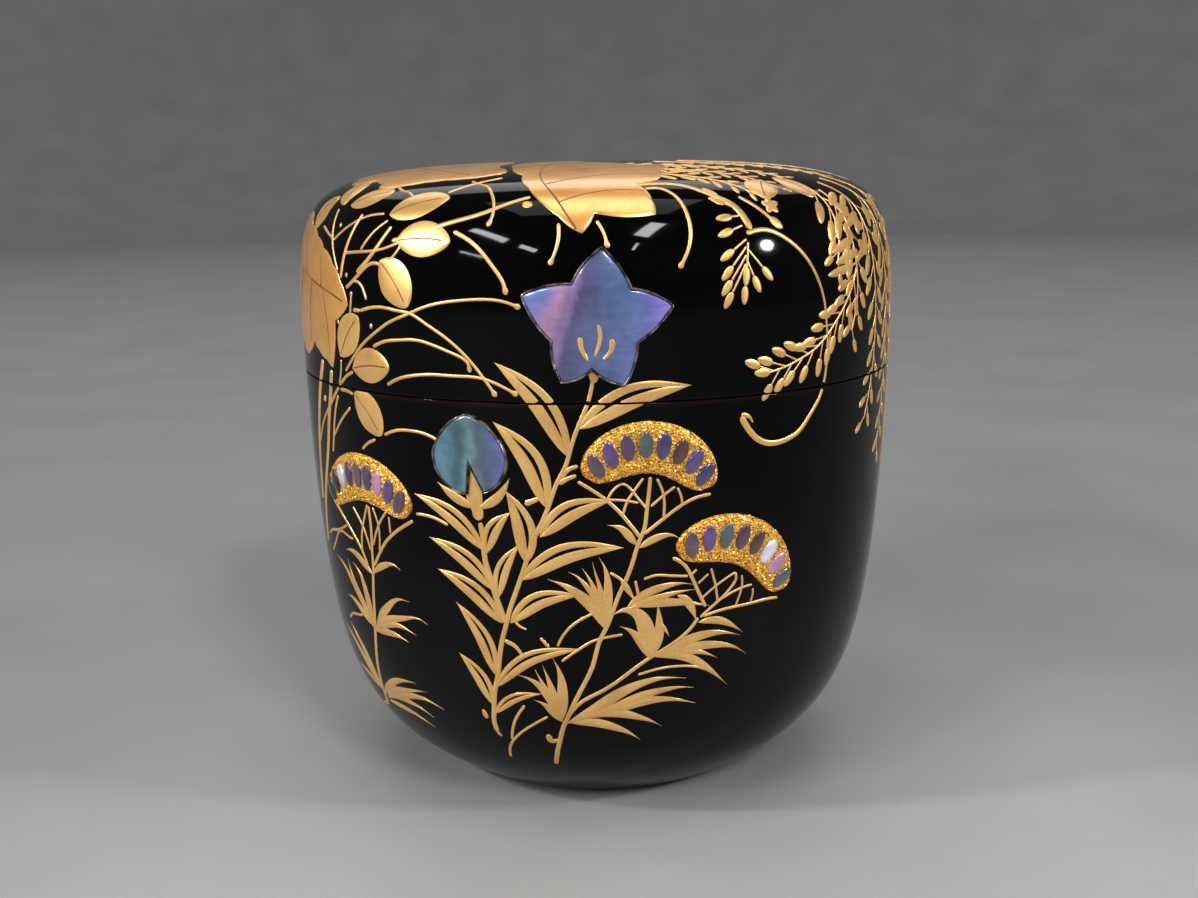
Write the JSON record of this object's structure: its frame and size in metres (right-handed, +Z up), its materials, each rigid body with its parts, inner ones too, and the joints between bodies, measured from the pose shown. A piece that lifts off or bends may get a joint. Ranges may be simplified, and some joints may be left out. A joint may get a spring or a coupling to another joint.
{
  "type": "lacquer tea caddy",
  "caption": "Round black lacquer tea caddy with a domed lift-off lid, autumn flowers in raised gold and inlaid shell, and a shallow foot ring.",
  "frame": {"origin": "centre of the foot ring's underside", "axes": "+Z up through the middle of the lid, -Y towards the bellflower on the front"},
  "size_m": [0.066, 0.0665, 0.0676],
  "materials": {
    "black_lacquer": "polished black lacquer over turned wood",
    "flower_shell": "polished blue and violet shell",
    "bud_shell": "polished blue-green shell",
    "oval_shell": "polished violet shell",
    "gold": "matte gold powder in lacquer",
    "gold_grain": "coarse gold grains in lacquer"
  },
  "bodies": {
    "root": {"caddy_body": "black_lacquer", "lid": "black_lacquer", "bellflower_shell": "flower_shell", "bud_shell": "bud_shell", "upper_head_shell_1": "oval_shell", "upper_head_shell_2": "oval_shell", "upper_head_shell_3": "oval_shell", "upper_head_shell_4": "oval_shell", "upper_head_shell_5": "oval_shell", "upper_head_shell_6": "oval_shell", "upper_head_shell_7": "oval_shell", "upper_head_shell_8": "oval_shell", "lower_head_shell_1": "oval_shell", "lower_head_shell_2": "oval_shell", "lower_head_shell_3": "oval_shell", "lower_head_shell_4": "oval_shell", "lower_head_shell_5": "oval_shell", "lower_head_shell_6": "oval_shell", "lower_head_shell_7": "oval_shell", "lower_head_shell_8": "oval_shell", "left_head_shell_1": "oval_shell", "left_head_shell_2": "oval_shell", "left_head_shell_3": "oval_shell", "left_head_shell_4": "oval_shell", "left_head_shell_5": "oval_shell", "left_head_shell_6": "oval_shell", "left_head_shell_7": "oval_shell", "left_head_shell_8": "oval_shell", "left_head_shell_9": "oval_shell"}
  },
  "joints": []
}
